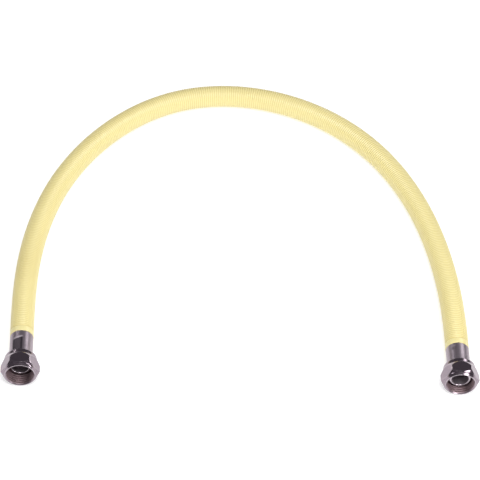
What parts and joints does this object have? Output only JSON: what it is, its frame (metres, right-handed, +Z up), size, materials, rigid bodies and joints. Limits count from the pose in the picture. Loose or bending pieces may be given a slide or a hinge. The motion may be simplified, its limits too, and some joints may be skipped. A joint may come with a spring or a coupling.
{
  "type": "flexible gas hose",
  "caption": "Flexible gas hose: ringed plastic cover over a thin metal hose, with a sleeve and a swivelling union nut at each end, lying in an arch.",
  "frame": {"origin": "on the floor, midway between the two end fittings", "axes": "+X from the left fitting to the right one, +Y away from the mouths towards the arch, +Z up"},
  "size_m": [0.3358, 0.3124, 0.024],
  "materials": {
    "yellow_cover": "satin plastic with fine rings",
    "nickel_plate": "bright nickel plate",
    "steel": "plain stainless"
  },
  "bodies": {
    "hose": {"hose_cover": "yellow_cover", "inner_hose": "steel", "ferrule_left": "nickel_plate", "nipple_left": "nickel_plate", "ferrule_right": "nickel_plate", "nipple_right": "nickel_plate"},
    "ring_left": {"retaining_ring_left": "steel"},
    "nut_left": {"union_nut_left": "nickel_plate"},
    "ring_right": {"retaining_ring_right": "steel"},
    "nut_right": {"union_nut_right": "nickel_plate"}
  },
  "joints": [
    {"name": "nut_left_slide", "type": "slide", "parent": "hose", "child": "ring_left", "axis": [0.0684, -0.9977, 0], "range_m": [-0.0029, 0]},
    {"name": "nut_left_spin", "type": "hinge", "parent": "ring_left", "child": "nut_left", "pos_m": [-0.15409, -0.01417, 0.012], "axis": [0.0684, -0.9977, 0], "continuous": true},
    {"name": "nut_right_slide", "type": "slide", "parent": "hose", "child": "ring_right", "axis": [0.0433, -0.9991, 0], "range_m": [0, 0.0029]},
    {"name": "nut_right_spin", "type": "hinge", "parent": "ring_right", "child": "nut_right", "pos_m": [0.15389, -0.0023, 0.012], "axis": [0.0433, -0.9991, 0], "continuous": true}
  ]
}
